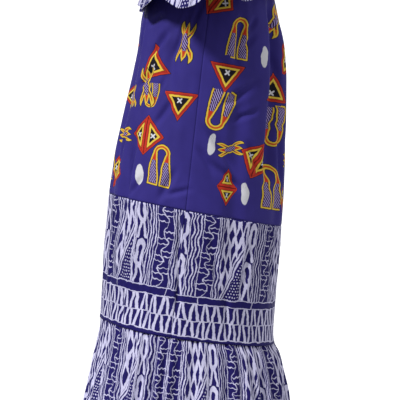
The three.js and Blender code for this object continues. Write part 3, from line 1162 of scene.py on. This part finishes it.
PRINT_MAP = "print"
UNDER_MAP = "figures"
OVER_MAP = "figures_over"
OVER_FIGURES = {Motif.LIZARD}
FIGURE_MAPS = {
    UNDER_MAP: [placed for placed in BLUE_LAYOUT if placed.motif not in OVER_FIGURES],
    OVER_MAP: [placed for placed in BLUE_LAYOUT if placed.motif in OVER_FIGURES],
}


@dataclass(frozen=True)
class FigurePlace:
    """A printed figure as it lies near a place on the blue cloth."""

    placed: Placed
    centre_u: float
    centre_v: float

    def local(self, u: float, v: float) -> tuple[float, float]:
        """A place on the cloth as a place in the figure.

        Args:
            u: the place across the cloth, in millimetres.
            v: the place down the cloth, in millimetres.

        Returns:
            The place across and up the figure, in millimetres.
        """
        turn = math.radians(self.placed.tilt)
        across, down = (u - self.centre_u) / self.placed.narrow, v - self.centre_v
        x = math.cos(turn) * across + math.sin(turn) * down
        y = math.sin(turn) * across - math.cos(turn) * down
        return x / self.placed.size, y / self.placed.size

    def distance(self, u: float, v: float) -> float:
        """How far a place is from the figure's middle, against the figure's own reach.

        Args:
            u: the place across the cloth, in millimetres.
            v: the place down the cloth, in millimetres.

        Returns:
            The distance, 1 at about the figure's outline.
        """
        x, y = self.local(u, v)
        breadth = 0.5 if self.placed.motif in (Motif.OVAL, Motif.LIZARD) else 0.8
        return math.hypot(x / breadth, y) / MOTIF_REACH[self.placed.motif]


def nearest_figure(figures: list[Placed], u: float, v: float) -> FigurePlace:
    """The printed figure that a place on the blue cloth belongs to.

    Args:
        figures: the figures of one map.
        u: the place across the cloth, in millimetres.
        v: the place down the cloth, in millimetres.

    Returns:
        The figure nearest to it in the repeating layout.
    """
    copies = (
        FigurePlace(
            placed,
            placed.u + REPEAT_WIDTH * round((u - placed.u) / REPEAT_WIDTH),
            placed.v + REPEAT_HEIGHT * round((v - placed.v) / REPEAT_HEIGHT),
        )
        for placed in figures
    )
    return min(copies, key=lambda copy: copy.distance(u, v))


# ------------------------------------------------------------------ cloth pieces


@dataclass
class ClothPiece:
    """A cut and sewn piece of cloth: a fine sheet on its solid's form, as thick as cotton.

    Its surface is a function of a column's and a row's value, rows running upwards.
    """

    name: str
    node: str
    slot: str
    columns: list[float]
    rows: list[float]
    surface: Callable[[float, float], Vector]
    flat: tuple[float, float]
    flat_area: float
    held: str = "hung"
    closed: bool = False
    by_hem: bool = False
    ends_at_seam: bool = False
    depth_of_row: Callable[[float], float] = lambda level: -level
    print_start: float = 0.0  # where in the print the left side seam falls
    stitch_rows: tuple[float, ...] = ()  # where a hem or casing is sewn down
    piece: bpy.types.Object | None = None

    def build(self) -> bpy.types.Object:
        """Makes the sheet and lays its print.

        Returns:
            The sheet's object, with its thickness as a live modifier.
        """
        points = [[self.surface(column, row) for column in self.columns] for row in self.rows]
        across = self._across(points)
        wide, high = len(self.columns), len(self.rows)
        sheet = bmesh.new()
        bmesh.ops.create_grid(sheet, x_segments=wide - 1, y_segments=high - 1, size=0.5)
        places = {}
        for vertex in sheet.verts:
            i = round((vertex.co.x + 0.5) * (wide - 1))
            j = round((vertex.co.y + 0.5) * (high - 1))
            places[vertex.index] = (across[j][i], self.depth_of_row(self.rows[j]))
            vertex.co = points[j][i] * MM
        self._lay_print(sheet, places)
        if self.closed:
            bmesh.ops.remove_doubles(sheet, verts=sheet.verts, dist=0.01 * MM)
        self.piece = as_object(self.name, sheet)
        wall = self.piece.modifiers.new("cloth", "SOLIDIFY")
        wall.thickness = CLOTH_THICKNESS * MM
        wall.offset = -1.0
        return self.piece

    def _across(self, points: list[list[Vector]]) -> list[list[float]]:
        """How far across the flat cloth each point lies from the left side seam.

        Args:
            points: the sheet's points, row by row.

        Returns:
            The distances in millimetres, row by row.
        """
        across = []
        for row in points:
            run = [0.0]
            for a, b in zip(row, row[1:]):
                run.append(run[-1] + (b - a).length)
            across.append(run)
        if self.by_hem:
            across = [across[0]] * len(points)
        starts = [self.print_start - (run[-1] if self.ends_at_seam else 0) for run in across]
        return [[start + u for u in run] for start, run in zip(starts, across)]

    def _lay_print(self, sheet: bmesh.types.BMesh, places: dict[int, tuple[float, float]]) -> None:
        """Writes the print's maps: the place on the cloth, and the place in the nearest figures.

        Args:
            sheet: the sheet that is being made.
            places: each vertex's place across and down the flat cloth, in millimetres.
        """
        cloth = sheet.loops.layers.uv.new(PRINT_MAP)
        for face in sheet.faces:
            for loop in face.loops:
                u, v = places[loop.vert.index]
                loop[cloth].uv = (u * MM, v * MM)
        if self.slot == INDIGO_SLOT:
            return
        for name, figures in FIGURE_MAPS.items():
            layer = sheet.loops.layers.uv.new(name)
            for face in sheet.faces:
                corners = [places[loop.vert.index] for loop in face.loops]
                middle = [sum(values) / len(corners) for values in zip(*corners)]
                figure = nearest_figure(figures, *middle)
                for loop, corner in zip(face.loops, corners):
                    x, y = figure.local(*corner)
                    loop[layer].uv = (figure.placed.motif.value + x * MM, y * MM)

    def dress(self, material: bpy.types.Material) -> None:
        """Gives the piece its cloth, hangs it from the root, and hides the solid that it stands for.

        Args:
            material: the cloth that it is cut from.
        """
        self.piece.data.materials.append(material)
        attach(self.piece, "root")
        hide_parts(self.node)
        log.info("%s: %d points", self.name, len(self.piece.data.vertices))


@dataclass(frozen=True)
class Stitching:
    """Machine stitches along the hems and the casing, each a small bead of thread on the cloth."""

    pitch: float = 3.2
    length: float = 2.5
    breadth: float = 0.55
    height: float = 0.4

    def sew(self, cloth: ClothPiece, thread: bpy.types.Material) -> None:
        """Sews the stitch rows of a piece, as one mesh.

        Args:
            cloth: the piece of cloth, which names its rows.
            thread: what the stitches are made of.
        """
        beads = bmesh.new()
        for row in cloth.stitch_rows:
            for place in self._places(cloth, row):
                bmesh.ops.create_icosphere(beads, subdivisions=1, radius=MM, matrix=place)
        stitches = as_object(cloth.name.replace("_cloth", "_stitching"), beads)
        stitches.data.materials.append(thread)
        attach(stitches, "root")

    def _places(self, cloth: ClothPiece, row: float) -> list[Matrix]:
        """Where each stitch of a row lies, with its size and direction.

        Args:
            cloth: the piece of cloth.
            row: the row's value on the piece's surface.

        Returns:
            A matrix for each stitch, which turns a ball of one millimetre into it.
        """
        above = row + (cloth.rows[-1] - cloth.rows[0]) * 0.01  # this shows which way is up the cloth
        places = []
        left_over = 0.0
        for column, following in zip(cloth.columns, cloth.columns[1:]):
            start, end = cloth.surface(column, row), cloth.surface(following, row)
            step = (end - start).length
            along = (end - start).normalized()
            outwards = along.cross(cloth.surface(column, above) - start).normalized()
            sizes = (along * self.length, outwards.cross(along) * self.breadth, outwards * self.height)
            shape = (Matrix(sizes).transposed() * 0.5).to_4x4()
            while left_over < step:
                places.append(Matrix.Translation((start + along * left_over) * MM) @ shape)
                left_over += self.pitch
            left_over -= step
        return places


BLUE_SLOT = "blue_printed_cotton"
INDIGO_SLOT = "indigo_resist_cotton"
CASING_SLOT = "neck_casing_cotton"


NEAR_SEAM = (0.25, 0.55)  # shares of the first cell at which a seam has further columns


def to_seams(start: float, end: float, cells: int) -> list[float]:
    """Columns from one side seam to the other, closer together where the cloth turns in to a seam.

    Args:
        start: the first column's value.
        end: the last column's value.
        cells: how many even cells lie between them.

    Returns:
        The columns' values.
    """
    columns = evenly(start, end, cells)
    step = columns[1] - columns[0]
    after_start = [start + step * share for share in NEAR_SEAM]
    before_end = [end - step * share for share in reversed(NEAR_SEAM)]
    return [columns[0], *after_start, *columns[1:-1], *before_end, columns[-1]]


def bell(distance: float, width: float) -> float:
    """A smooth bump: 1 at no distance, and fading over the width."""
    return math.exp(-((distance / width) ** 2))


def seam_turn(distance: float) -> float:
    """How far the cloth turns in at a distance from a seam: a sharp turn and a slow one."""
    return -1.5 * bell(distance, 1.6) - 0.5 * bell(distance, 9)


PER_DEGREE = 3.6  # millimetres round the dress in one degree, about


class Half(Enum):
    """The two halves of a tube of cloth that is seamed at the sides, by the angles of their middles."""

    FRONT = 0.0
    BACK = 180.0

    @property
    def word(self) -> str:
        """The half's name in its nodes."""
        return self.name.lower()


def side_turn(half: Half, angle: float) -> float:
    """How far a half's cloth turns in near its side seams, by the angle round the axis."""
    return seam_turn((90 - abs(angle - half.value)) * PER_DEGREE)


@dataclass(frozen=True)
class Body:
    """The blue body: front and back, seamed at the sides, with armhole curves at the upper corners."""

    cells: int = 150
    row_height: float = 5.0

    def piece(self, half: Half) -> ClothPiece:
        """One half of the body.

        Args:
            half: the front or the back.

        Returns:
            The piece.
        """
        low = PANEL_SEAM + SEAM_GAP / 2
        rows = evenly(low, UNDERARM, round((UNDERARM - low) / self.row_height))
        above = evenly(0, 1, 18)[1:]
        rows += [mix(UNDERARM, BODY_TOP, share**1.4) for share in above]

        def surface(across: float, level: float) -> Vector:
            """A point of the body.

            Args:
                across: the share of the way from the middle to a side seam.
                level: the height at the side seams.

            Returns:
                The point, in millimetres.
            """
            reach = FORM.armhole_angle(level)
            side = seam_turn((1 - abs(across)) * reach * PER_DEGREE)
            return FORM.point(level, half.value + across * reach, self.seam_dip(level) + side)

        return ClothPiece(
            name=f"{half.word}_body_cloth",
            node=f"{half.word}_body",
            slot=BLUE_SLOT,
            columns=to_seams(-1, 1, self.cells),
            rows=rows,
            surface=surface,
            flat=(0.68, 0.66) if half is Half.FRONT else (0.74, 0.68),
            flat_area=0.39 if half is Half.FRONT else 0.44,
            ends_at_seam=half is Half.FRONT,
        )

    @staticmethod
    def seam_dip(level: float) -> float:
        """The cloth draws in a little at its lower seam."""
        return -0.9 * bell(level - PANEL_SEAM, 4)


@dataclass(frozen=True)
class SkirtPanel:
    """The plain indigo panel between body and flounce, with a printed band along its lower edge."""

    cells: int = 150
    row_height: float = 4.6
    lip: float = 1.6

    def piece(self, half: Half) -> ClothPiece:
        """One half of the skirt panel.

        Args:
            half: the front or the back.

        Returns:
            The piece.
        """
        low, high = FLOUNCE_SEAM + SEAM_GAP / 2, PANEL_SEAM - SEAM_GAP / 2
        # Where the top edge lies in the print, and how much print a millimetre of cloth takes up:
        # the figures on the front are a little larger.
        top_edge, print_per_mm = (19.0, 0.93) if half is Half.FRONT else (-3.0, 1.0)

        def surface(angle: float, level: float) -> Vector:
            """A point of the panel, whose lower edge lies a little proud of the flounce.

            Args:
                angle: the angle round the axis, in degrees.
                level: the height at the side seams.

            Returns:
                The point, in millimetres.
            """
            lip = self.lip * bell(level - FLOUNCE_SEAM, 9)
            return FORM.point(level, angle, lip + Body.seam_dip(level) + side_turn(half, angle))

        return ClothPiece(
            name=f"{half.word}_skirt_cloth",
            node=f"{half.word}_skirt_panel",
            slot=INDIGO_SLOT,
            columns=to_seams(half.value - 90, half.value + 90, self.cells),
            rows=evenly(low, high, round((high - low) / self.row_height)),
            surface=surface,
            flat=(0.68, 0.32) if half is Half.FRONT else (0.78, 0.32),
            flat_area=0.2 if half is Half.FRONT else 0.23,
            ends_at_seam=half is Half.FRONT,
            depth_of_row=lambda level: top_edge + (PANEL_SEAM - level) * print_per_mm,
            print_start=68 if half is Half.FRONT else 135,
        )


@dataclass(frozen=True)
class Flounce:
    """The gathered indigo flounce at the foot."""

    cells: int = 300
    row_height: float = 4.5
    fine_gathers: int = 126
    fine_depth: float = 1.1
    unevenness: float = 1.5
    tuck: float = 1.5

    def piece(self, half: Half) -> ClothPiece:
        """One half of the flounce.

        Args:
            half: the front or the back.

        Returns:
            The piece.
        """
        top = FLOUNCE_SEAM - SEAM_GAP / 2

        def surface(angle: float, level: float) -> Vector:
            """A point of the flounce: its waves, the fine gathers below its seam and the tuck at it.

            Args:
                angle: the angle round the axis, in degrees.
                level: the height at the side seams.

            Returns:
                The point, in millimetres.
            """
            down = (top - level) / (top - HEM)
            turn = math.radians(angle)
            gathers = math.cos(self.fine_gathers * turn + 2 * math.sin(7 * turn))
            fine = self.fine_depth * math.exp(-down * 9) * gathers
            lively = self.unevenness * down * uneven(9, angle, 3 * down)
            tucked = self.tuck * math.exp(-down * 30)
            outwards = gathered(FLOUNCE_WAVES, down, angle) + fine + lively - tucked + side_turn(half, angle)
            return FORM.point(level, angle, outwards, fine=False)

        return ClothPiece(
            name=f"{half.word}_flounce_cloth",
            node=f"{half.word}_flounce",
            slot=INDIGO_SLOT,
            columns=to_seams(half.value - 90, half.value + 90, self.cells),
            rows=[HEM, HEM + 1.5, *evenly(HEM, top, round((top - HEM) / self.row_height))[1:]],
            surface=surface,
            flat=(1.05, 0.3) if half is Half.FRONT else (1.2, 0.3),
            flat_area=0.29 if half is Half.FRONT else 0.34,
            held="gathered",
            by_hem=True,
            ends_at_seam=half is Half.FRONT,
            depth_of_row=lambda level: FLOUNCE_SEAM - level,
            print_start=46 if half is Half.FRONT else 0,
            stitch_rows=(HEM + 12,),
        )


@dataclass(frozen=True)
class NeckRuffle:
    """The indigo ruffle that falls from the neckline over body and sleeves."""

    depth: RuffleDepth = RuffleDepth()
    cells: int = 220
    row_height: float = 4.0
    unevenness: float = 0.9

    def piece(self, half: Half) -> ClothPiece:
        """One half of the ruffle.

        Args:
            half: the front or the back.

        Returns:
            The piece.
        """

        def surface(angle: float, down: float) -> Vector:
            """A point of the ruffle.

            Args:
                angle: the angle round the axis, in degrees.
                down: the share of the way to the hem.

            Returns:
                The point, in millimetres.
            """
            form = read_table(RUFFLE_FORM, "down", down)
            lively = self.unevenness * down * uneven(7, angle, 2 * down)
            outwards = gathered(RUFFLE_WAVES, down, angle) + lively + side_turn(half, angle)
            x, y = oval_point(form, angle, outwards)
            return Vector((x, y, BODY_TOP + NECK["rise"] * y - down * self.depth.at(angle)))

        cells = round(self.depth.mean / self.row_height)
        return ClothPiece(
            name=f"{half.word}_ruffle_cloth",
            node=f"{half.word}_ruffle",
            slot=INDIGO_SLOT,
            columns=to_seams(half.value - 90, half.value + 90, self.cells),
            rows=[1.0, 0.99, *evenly(1, 0, cells)[1:]],
            surface=surface,
            flat=(0.95, 0.17) if half is Half.FRONT else (0.95, 0.15),
            flat_area=0.14 if half is Half.FRONT else 0.125,
            held="gathered",
            by_hem=True,
            ends_at_seam=half is Half.FRONT,
            depth_of_row=lambda down: down * self.depth.mean,
            stitch_rows=(0.93,),
        )


@dataclass(frozen=True)
class Sleeve:
    """A short blue sleeve: over the arm along the neckline, under it by the armhole."""

    word: str
    side: float
    hem_level: float = -142.0
    centre_x: float = 240.0
    centre_y: float = 10.0
    half_x: float = 50.0
    half_y: float = 66.0
    puff: float = 8.0
    cant: float = 0.06
    ripples: int = 17
    ripple_depth: float = 5.6
    depth: float = 140.0
    cells: int = 120
    rows: int = 40

    def upper_edge(self, turn: float) -> Vector:
        """A point of the left sleeve's upper edge: on the neckline above, on the armhole below.

        Args:
            turn: the angle round the arm, 0 outwards and 90 towards the back, in degrees.

        Returns:
            The point, in millimetres.
        """
        sideways = abs(turn)
        if sideways <= SLEEVE_ARC:
            reach = 90 - ARMHOLE_TOP_ANGLE
            return FORM.point(BODY_TOP, 90 + turn / SLEEVE_ARC * reach, fine=False)
        up = (180 - sideways) / (180 - SLEEVE_ARC)
        level = mix(UNDERARM, BODY_TOP, up)
        towards_back = math.copysign(1, turn)
        edge = FORM.point(level, 90 + towards_back * (90 - FORM.armhole_angle(level)), fine=False)
        edge.x += ARMHOLE_CLEARANCE
        edge.y -= towards_back * ARMHOLE_CLEARANCE * math.sqrt(up)
        return edge

    def surface(self, turn: float, down: float) -> Vector:
        """A point of the sleeve's outer face.

        Args:
            turn: the angle round the arm, in degrees.
            down: the share of the way to the hem.

        Returns:
            The point, in millimetres.
        """
        turn *= self.side
        cosine, sine = math.cos(math.radians(turn)), math.sin(math.radians(turn))
        hem = Vector(
            (
                self.centre_x + self.half_x * cosine,
                self.centre_y + self.half_y * sine,
                self.hem_level - self.cant * self.half_x * cosine,
            )
        )
        point = self.upper_edge(turn).lerp(hem, down)
        bulge = self.puff * math.sin(math.pi * max(down, 0)) * max(0.0, cosine + 0.3)
        ripple = self.ripple_depth * (1 - down) * down * math.cos(math.radians(turn) * self.ripples)
        ripple *= max(0.0, cosine)
        point += Vector(((bulge + ripple) * cosine, (bulge + ripple) * sine, 0))
        return Vector((self.side * point.x, point.y, point.z))

    def piece(self) -> ClothPiece:
        """The sleeve, as one tube with its seam under the arm."""
        return ClothPiece(
            name=f"{self.word}_sleeve_cloth",
            node=f"{self.word}_sleeve",
            slot=BLUE_SLOT,
            columns=evenly(-180, 180, self.cells),
            rows=evenly(1, 0, self.rows),
            surface=self.surface,
            flat=(0.45, 0.16),
            flat_area=0.05,
            closed=True,
            depth_of_row=lambda down: CASING_DROP + down * self.depth,
            stitch_rows=(0.93,),
        )


@dataclass(frozen=True)
class NeckCasing:
    """The casing at the neckline, gathered on its elastic."""

    gathers: int = 84
    gather_depth: float = 0.7
    plump: float = 1.3
    clear: float = 0.6
    cells: int = 420
    rows: int = 6

    def piece(self) -> ClothPiece:
        """The casing, as one ring."""

        def surface(angle: float, level: float) -> Vector:
            """A point of the casing, round in section and rippled by its elastic.

            Args:
                angle: the angle round the axis, in degrees.
                level: the height at the side seams.

            Returns:
                The point, in millimetres.
            """
            turn = math.radians(angle)
            share = (level + CASING_DROP) / CASING_DROP
            plump = self.plump * math.sqrt(max(0.0, 1 - (2 * share - 1) ** 2))
            ripple = self.gather_depth * math.cos(self.gathers * turn + 1.5 * math.sin(5 * turn))
            x, y = oval_point(NECK, angle, self.clear + plump + ripple)
            return Vector((x, y, level + NECK["rise"] * y))

        return ClothPiece(
            name="neck_casing_cloth",
            node="neck_casing",
            slot=CASING_SLOT,
            columns=evenly(0, 360, self.cells),
            rows=evenly(-CASING_DROP, 0, self.rows),
            surface=surface,
            flat=(1.4, 0.016),
            flat_area=0.0215,
            held="gathered",
            closed=True,
            stitch_rows=(2 - CASING_DROP,),
        )


# ------------------------------------------------------------------ the studio


@dataclass(frozen=True)
class Studio:
    """A plain pale floor, soft light from the front left, and the camera at the wearer's left."""

    focal_pixels: float = 1417.0
    frame_pixels: float = 400.0
    sensor: float = 36.0
    distance: float = 3.5
    eye_level: float = -0.52
    axis_column: float = 187.0
    horizon_row: float = 155.5
    roll: float = 6.5
    floor_level: float = -1.29
    floor_size: float = 0.96
    key_strength: float = 3.2
    key_softness: float = 10.0
    key_from: tuple[float, float, float] = (0.5, -0.6, 0.6)
    fill: float = 0.3
    fill_above: float = 0.2
    fill_behind: float = 0.5
    backdrop: float = 2.1

    def camera(self) -> None:
        """Places the camera."""
        centre = self.frame_pixels / 2
        aside = (centre - self.axis_column) / self.focal_pixels
        rising = (self.horizon_row - centre) / self.focal_pixels
        aim = Vector((-1, aside, rising)).normalized()
        roll = math.radians(self.roll)
        upright = Vector((0, -math.sin(roll), math.cos(roll)))
        right = aim.cross(upright).normalized()
        up = right.cross(aim)
        data = bpy.data.cameras.new("camera")
        data.sensor_width = self.sensor
        data.lens = self.focal_pixels / self.frame_pixels * self.sensor
        camera = bpy.data.objects.new("camera", data)
        turned = Matrix((right, up, -aim)).transposed().to_4x4()
        camera.matrix_world = Matrix.Translation((self.distance, 0, self.eye_level)) @ turned
        bpy.context.scene.collection.objects.link(camera)
        bpy.context.scene.camera = camera

    def lights(self) -> None:
        """Hangs the soft key light and sets the surroundings, which are white behind the dress."""
        world = bpy.data.worlds.new("studio")
        w = Wiring(world)
        direction = w.add("SeparateXYZ", {0: w.add("TexCoord", {}, out="Generated")})
        strength = w.formula(
            "max(fill + above * z, 0.1) + behind * max(y, 0) + backdrop * max(-x - 0.5, 0)",
            x=direction,
            y=direction.node.outputs[1],
            z=direction.node.outputs[2],
            fill=self.fill,
            above=self.fill_above,
            behind=self.fill_behind,
            backdrop=self.backdrop,
        )
        sky = w.add("Background", {"Color": (1, 1, 1, 1), "Strength": strength})
        w.add("OutputWorld", {"Surface": sky})
        bpy.context.scene.world = world
        data = bpy.data.lights.new("key", "SUN")
        data.energy = self.key_strength
        data.angle = math.radians(self.key_softness)
        key = bpy.data.objects.new("key", data)
        key.rotation_mode = "QUATERNION"
        key.rotation_quaternion = Vector(self.key_from).to_track_quat("Z", "Y")
        bpy.context.scene.collection.objects.link(key)

    def floor(self) -> None:
        """Lays the floor."""
        ground = bmesh.new()
        bmesh.ops.create_grid(ground, x_segments=1, y_segments=1, size=self.floor_size / 2)
        bmesh.ops.translate(ground, verts=ground.verts, vec=(0, 0, self.floor_level))
        floor = as_object("floor", ground)
        floor.data.materials.append(PlainPaint("floor_paint", "#f7f7f7", "#f2f2f2", 0.8, 2.0).material())


def main() -> None:
    """Builds the dress piece by piece and sets it in the studio."""
    logging.basicConfig(level=logging.INFO, format="%(name)s: %(message)s")
    studio = Studio()
    studio.camera()
    bpy.context.scene.view_settings.view_transform = "Standard"
    blue = BluePrintedCotton().material()
    indigo = IndigoResistCotton().material()
    banded = IndigoResistCotton(banded=True).material()
    pieces = [(NeckCasing().piece(), blue)]
    for half in Half:
        pieces += [
            (NeckRuffle().piece(half), indigo),
            (Body().piece(half), blue),
            (SkirtPanel().piece(half), banded),
            (Flounce().piece(half), indigo),
        ]
    pieces += [(Sleeve("left", 1.0).piece(), blue), (Sleeve("right", -1.0).piece(), blue)]
    thread = PlainPaint("cotton_thread", "#3a3183", "#2a2266", 0.6, 700.0).material()
    stitching = Stitching()
    for piece, material in pieces:
        piece.build()
        piece.dress(material)
        if piece.stitch_rows:
            stitching.sew(piece, thread)
    studio.floor()
    studio.lights()


if __name__ == "__main__":
    main()
